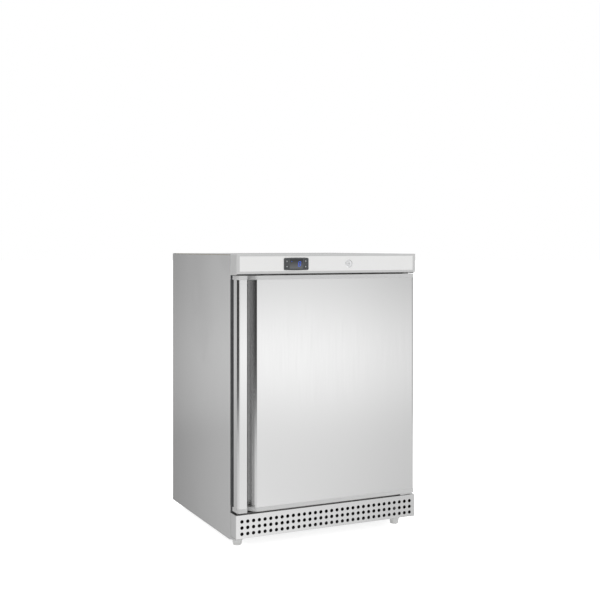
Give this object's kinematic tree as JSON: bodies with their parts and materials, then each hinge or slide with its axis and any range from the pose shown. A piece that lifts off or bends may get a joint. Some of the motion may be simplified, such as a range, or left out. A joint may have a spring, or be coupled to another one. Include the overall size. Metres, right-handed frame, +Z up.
{
  "type": "undercounter refrigerator",
  "caption": "Undercounter refrigerator with a solid steel door, recessed grip strip, keylock, digital controller and perforated plinth grille",
  "frame": {"origin": "on the floor, under the middle of the object's box", "axes": "+Z up, +X to the right as seen from the front, the door faces -Y"},
  "size_m": [0.6, 0.585, 0.855],
  "materials": {
    "stainless": "fine vertical brushing",
    "galvanised": "galvanised sheet",
    "zinc": "bright zinc plate",
    "chrome": "satin chrome",
    "frame_plastic": "light grey moulded plastic",
    "label_white": "smooth printed film",
    "white_plastic": "thermoformed white plastic",
    "foot_plastic": "moulded",
    "controller_plastic": "fine texture",
    "key_plastic": "soft key",
    "display": "polished window",
    "foam": "rigid foam",
    "evaporator": "mill finish",
    "gasket": "soft extruded",
    "black_enamel": "stoved enamel",
    "matt_black": "matt black paint",
    "black_rubber": "moulded rubber",
    "black_plastic": "moulded",
    "copper": "dull copper tube",
    "coated_wire": "white plastic-coated wire",
    "bright_wire": "plated wire"
  },
  "bodies": {
    "cabinet": {"left_side_panel": "stainless", "right_side_panel": "stainless", "top_panel": "stainless", "back_panel": "galvanised", "floor_panel": "galvanised", "base_pan": "matt_black", "top_rail": "galvanised", "bottom_rail": "matt_black", "cabinet_insulation": "foam", "inner_liner": "white_plastic", "evaporator_plate": "evaporator", "control_frame": "frame_plastic", "fascia_label": "label_white", "controller_housing": "controller_plastic", "display_window": "display", "lock_housing": "chrome", "top_hinge": "zinc", "bottom_hinge": "zinc", "hinge_screws": "zinc", "plinth_grille": "stainless", "compressor": "black_enamel", "compressor_grommets": "black_rubber", "terminal_box": "black_plastic", "condenser": "black_enamel", "condenser_brackets": "black_enamel", "filter_dryer": "copper", "refrigerant_pipes": "copper", "evaporation_tray": "black_plastic", "drain_tube": "white_plastic", "air_duct_cover": "white_plastic", "fan_frame": "black_plastic", "fan_guard": "bright_wire", "temperature_probe": "white_plastic", "cable_gland": "black_plastic", "rear_spacers": "black_plastic", "panel_screws": "zinc", "roller_brackets": "galvanised", "roller_axles": "zinc"},
    "door": {"door_skin": "stainless", "door_top_cap": "frame_plastic", "door_bottom_cap": "frame_plastic", "door_insulation": "foam", "door_liner": "white_plastic", "door_gasket": "gasket", "hinge_bushes": "white_plastic"},
    "lock": {"lock_barrel": "chrome", "lock_cam": "zinc"},
    "key_upper_left": {"key_upper_left": "key_plastic"},
    "key_lower_left": {"key_lower_left": "key_plastic"},
    "key_upper_right": {"key_upper_right": "key_plastic"},
    "key_lower_right": {"key_lower_right": "key_plastic"},
    "shelf_lower": {"shelf_lower": "coated_wire"},
    "shelf_middle": {"shelf_middle": "coated_wire"},
    "shelf_upper": {"shelf_upper": "coated_wire"},
    "fan": {"fan_blades": "black_plastic"},
    "foot_left": {"foot_left": "foot_plastic"},
    "foot_right": {"foot_right": "foot_plastic"},
    "roller_left": {"roller_left": "black_plastic"},
    "roller_right": {"roller_right": "black_plastic"}
  },
  "joints": [
    {"name": "door_hinge", "type": "hinge", "parent": "cabinet", "child": "door", "pos_m": [0.273, -0.271, 0.45], "axis": [0, 0, 1], "range_deg": [0, 115]},
    {"name": "lock_turn", "type": "hinge", "parent": "cabinet", "child": "lock", "pos_m": [0.065, -0.291, 0.826], "axis": [0, 1, 0], "range_deg": [0, 90]},
    {"name": "key_upper_left_press", "type": "slide", "parent": "cabinet", "child": "key_upper_left", "axis": [0, 1, 0], "range_m": [0, 0.0008], "stiffness_N_per_m": 800, "springref_m": -0.0005},
    {"name": "key_lower_left_press", "type": "slide", "parent": "cabinet", "child": "key_lower_left", "axis": [0, 1, 0], "range_m": [0, 0.0008], "stiffness_N_per_m": 800, "springref_m": -0.0005},
    {"name": "key_upper_right_press", "type": "slide", "parent": "cabinet", "child": "key_upper_right", "axis": [0, 1, 0], "range_m": [0, 0.0008], "stiffness_N_per_m": 800, "springref_m": -0.0005},
    {"name": "key_lower_right_press", "type": "slide", "parent": "cabinet", "child": "key_lower_right", "axis": [0, 1, 0], "range_m": [0, 0.0008], "stiffness_N_per_m": 800, "springref_m": -0.0005},
    {"name": "shelf_lower_slide", "type": "slide", "parent": "cabinet", "child": "shelf_lower", "axis": [0, -1, 0], "range_m": [0, 0.024]},
    {"name": "shelf_middle_slide", "type": "slide", "parent": "cabinet", "child": "shelf_middle", "axis": [0, -1, 0], "range_m": [0, 0.024]},
    {"name": "shelf_upper_slide", "type": "slide", "parent": "cabinet", "child": "shelf_upper", "axis": [0, -1, 0], "range_m": [0, 0.024]},
    {"name": "fan_spin", "type": "hinge", "parent": "cabinet", "child": "fan", "pos_m": [0, 0.184, 0.696], "axis": [0, 1, 0], "continuous": true},
    {"name": "foot_left_turn", "type": "hinge", "parent": "cabinet", "child": "foot_left", "pos_m": [-0.268, -0.217, 0.02], "axis": [0, 0, 1], "continuous": true},
    {"name": "foot_right_turn", "type": "hinge", "parent": "cabinet", "child": "foot_right", "pos_m": [0.268, -0.217, 0.02], "axis": [0, 0, 1], "continuous": true},
    {"name": "roller_left_spin", "type": "hinge", "parent": "cabinet", "child": "roller_left", "pos_m": [-0.26, 0.255, 0.015], "axis": [1, 0, 0], "continuous": true},
    {"name": "roller_right_spin", "type": "hinge", "parent": "cabinet", "child": "roller_right", "pos_m": [0.26, 0.255, 0.015], "axis": [1, 0, 0], "continuous": true}
  ]
}
